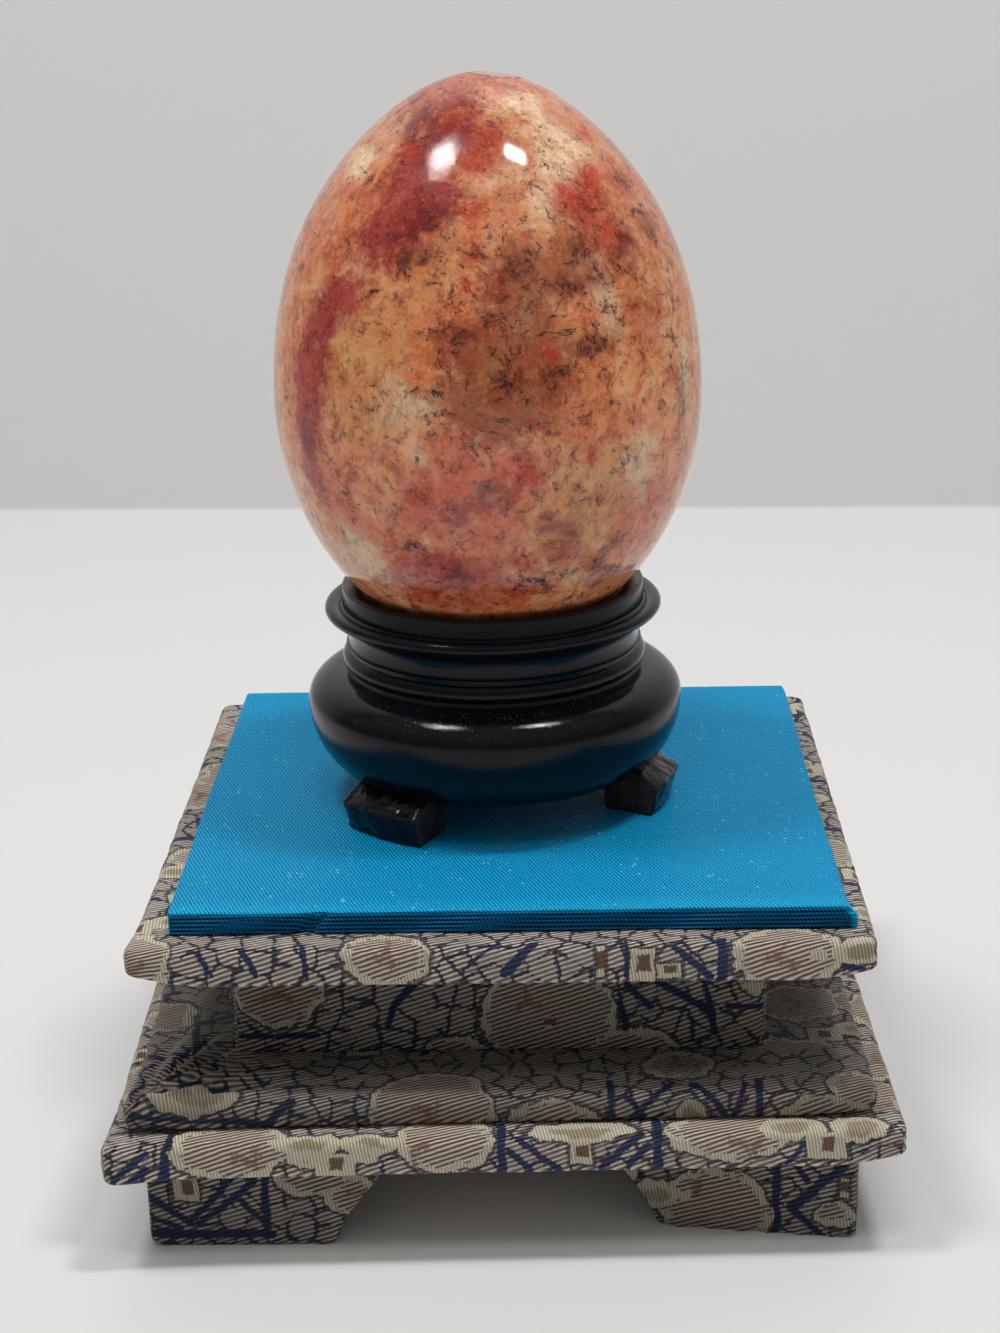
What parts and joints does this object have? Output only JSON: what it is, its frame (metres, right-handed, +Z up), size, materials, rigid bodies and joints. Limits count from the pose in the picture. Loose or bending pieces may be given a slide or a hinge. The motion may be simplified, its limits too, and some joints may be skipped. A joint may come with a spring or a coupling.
{
  "type": "marble egg on stand",
  "caption": "Polished marble egg resting in a black turned wood stand on a stepped, brocade-covered display plinth with a blue satin top.",
  "frame": {"origin": "on the table, under the middle of the plinth's lowest board", "axes": "+Z up through the egg, -Y towards the front, +X to the viewer's right"},
  "size_m": [0.104, 0.104, 0.1456],
  "materials": {
    "marble": "polished amber and salmon marble with crimson bands, cream patches, grey clouds and fine dark veins",
    "lacquer": "turned wood with glossy black lacquer, brown raw wood on the sawn sides of its feet",
    "satin": "blue satin drawn over card, fine twill",
    "brocade": "taupe brocade with diagonal ribs, navy lattice lines, cream-edged blossoms and small maroon marks, drawn over card"
  },
  "bodies": {
    "root": {"marble_egg": "marble", "wood_stand": "lacquer", "satin_panel": "satin", "top_board": "brocade", "riser_block": "brocade", "middle_board": "brocade", "bottom_board": "brocade", "foot_front_left": "brocade", "foot_front_right": "brocade", "foot_back_left": "brocade", "foot_back_right": "brocade"}
  },
  "joints": []
}
